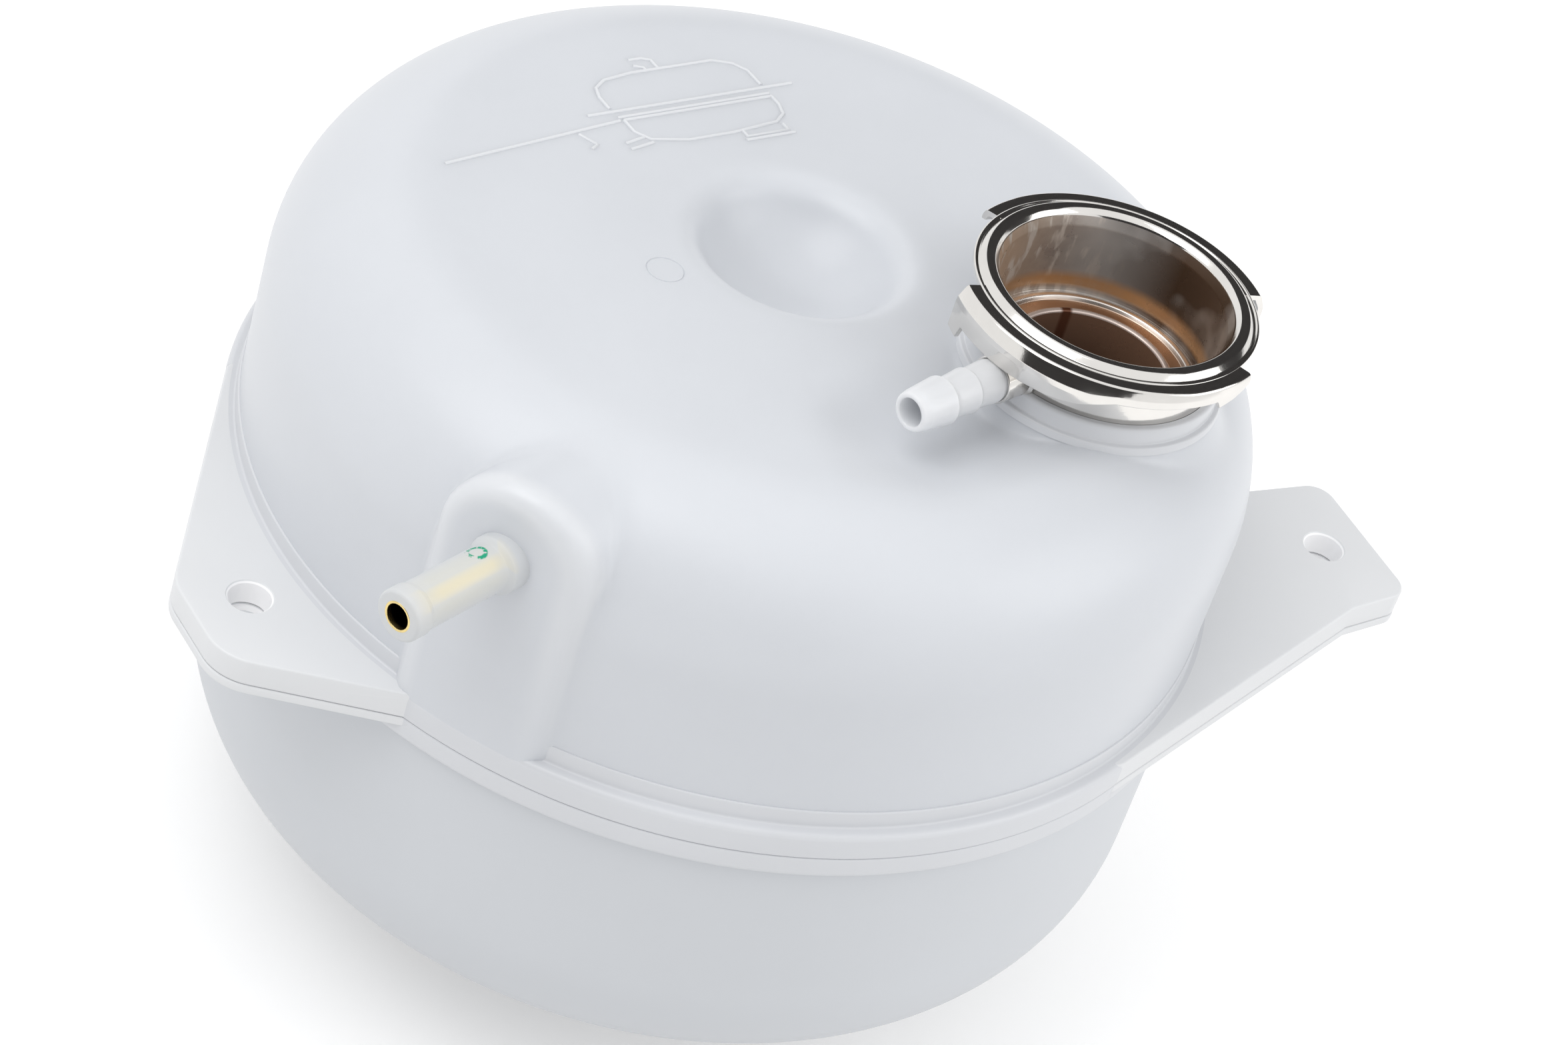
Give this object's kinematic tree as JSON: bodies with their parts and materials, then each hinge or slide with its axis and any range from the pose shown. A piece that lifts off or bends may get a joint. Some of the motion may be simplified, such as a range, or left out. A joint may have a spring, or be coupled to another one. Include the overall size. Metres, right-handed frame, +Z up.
{
  "type": "coolant expansion tank",
  "caption": "Round translucent coolant tank with a welded flange, two fixing ears, a metal filler neck, an overflow nipple and hose pipes.",
  "frame": {"origin": "on the drum's axis, at the flat of the base", "axes": "+Z up the drum's axis; X runs parallel to the line through the two ear holes, towards the longer ear"},
  "size_m": [0.2641, 0.206, 0.1775],
  "materials": {
    "translucent_plastic": "satin, slightly see-through",
    "nickel": "bright nickel plate",
    "brass": "plain",
    "seal_rubber": "plain",
    "white_plastic": "satin"
  },
  "bodies": {
    "root": {"upper_shell": "translucent_plastic", "lower_shell": "translucent_plastic", "return_liner": "brass", "outlet_liner": "brass", "filler_neck": "nickel", "neck_seal": "seal_rubber", "overflow_stub": "nickel", "overflow_nipple": "white_plastic"}
  },
  "joints": []
}
